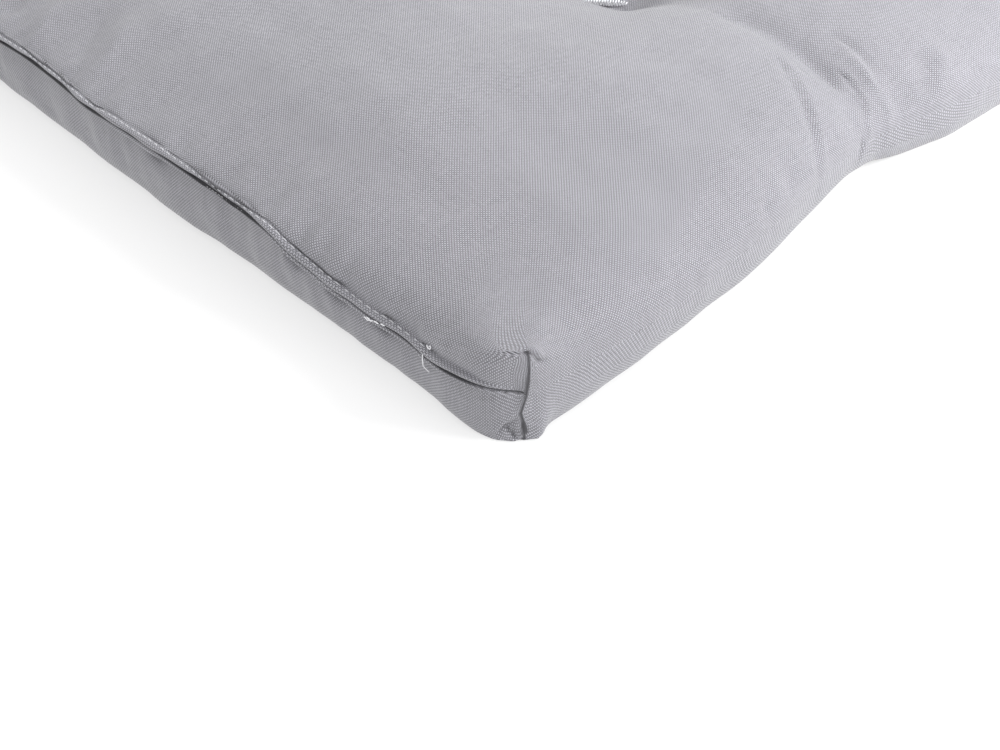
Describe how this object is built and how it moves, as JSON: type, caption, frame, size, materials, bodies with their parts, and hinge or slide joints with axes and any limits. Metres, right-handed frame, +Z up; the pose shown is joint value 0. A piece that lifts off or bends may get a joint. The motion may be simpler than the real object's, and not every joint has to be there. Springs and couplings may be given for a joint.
{
  "type": "sun lounger cushion",
  "caption": "Long padded cushion for a sun lounger, folded along one long side, with boxed corners, a topstitched closing seam at one end and rows of bar tacks that part it into soft sections.",
  "frame": {"origin": "on the surface that the cushion lies on, under the middle of its outline", "axes": "+X along the length, away from the end with the topstitched closing seam; +Y across, away from the folded long side; +Z up"},
  "size_m": [2, 0.4998, 0.0431],
  "materials": {
    "cover": "matt plain weave"
  },
  "bodies": {
    "root": {"cushion": "cover"}
  },
  "joints": []
}
